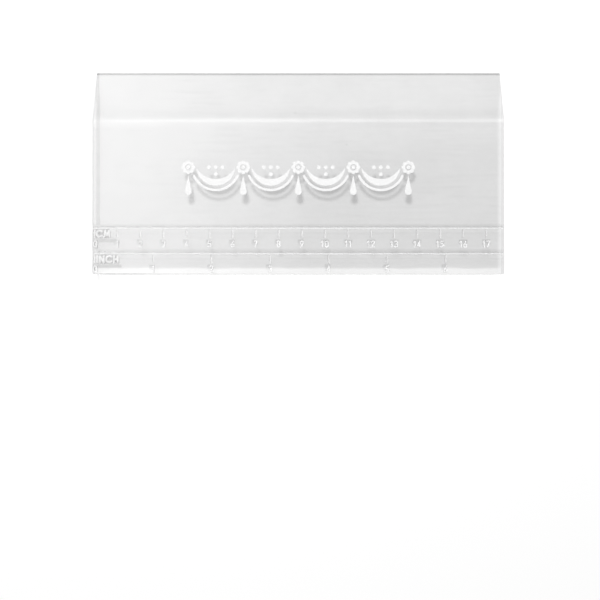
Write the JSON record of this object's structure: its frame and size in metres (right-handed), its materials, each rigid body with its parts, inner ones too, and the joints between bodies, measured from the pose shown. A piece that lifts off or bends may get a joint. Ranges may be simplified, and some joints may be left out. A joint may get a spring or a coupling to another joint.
{
  "type": "icing smoother",
  "caption": "Clear flat plate for smoothing icing, with one long side bevelled to a thin edge, raised centimetre and inch rulers, and a white printed garland.",
  "frame": {"origin": "middle of the flat back face, which the plate lies on", "axes": "+Z out of the marked front face, +X along the rulers from their zero end, +Y towards the bevelled smoothing edge"},
  "size_m": [0.179, 0.0896, 0.0058],
  "materials": {
    "clear_acrylic": "polished",
    "clear_relief": "gloss",
    "white_print": "satin"
  },
  "bodies": {
    "root": {"clear_plate": "clear_acrylic", "cm_scale_line": "clear_relief", "cm_ticks": "clear_relief", "cm_numerals": "clear_relief", "cm_unit_label": "clear_relief", "inch_scale_line": "clear_relief", "inch_ticks": "clear_relief", "inch_numerals": "clear_relief", "inch_unit_label": "clear_relief", "garland_swags": "white_print", "garland_cords": "white_print", "garland_rosettes": "white_print", "garland_drops": "white_print", "garland_beads": "white_print"}
  },
  "joints": []
}
